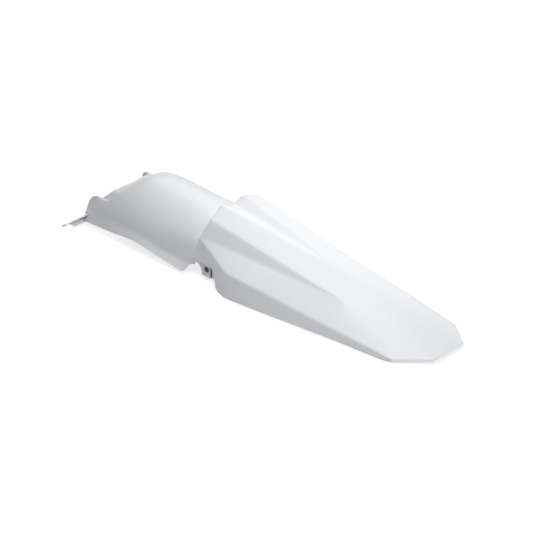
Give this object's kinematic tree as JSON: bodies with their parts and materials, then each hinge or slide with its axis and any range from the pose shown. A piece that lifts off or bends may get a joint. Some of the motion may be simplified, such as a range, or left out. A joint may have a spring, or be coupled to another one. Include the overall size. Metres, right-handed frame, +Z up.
{
  "type": "motorcycle rear fender",
  "caption": "One-piece moulded rear fender with a faceted tail panel, a rounded inner arch with side flanges, side lugs and front tabs.",
  "frame": {"origin": "middle of the bounding box's base: on the ground the skirt stands on, half-way along and half-way across the fender", "axes": "+X to the rear of the vehicle along the fender, +Y to the vehicle's right side, +Z up, with the fender standing on its skirt"},
  "size_m": [0.808, 0.294, 0.1264],
  "materials": {
    "rear_fender": "semi-gloss white moulded plastic"
  },
  "bodies": {
    "root": {"rear_fender": "rear_fender"}
  },
  "joints": []
}
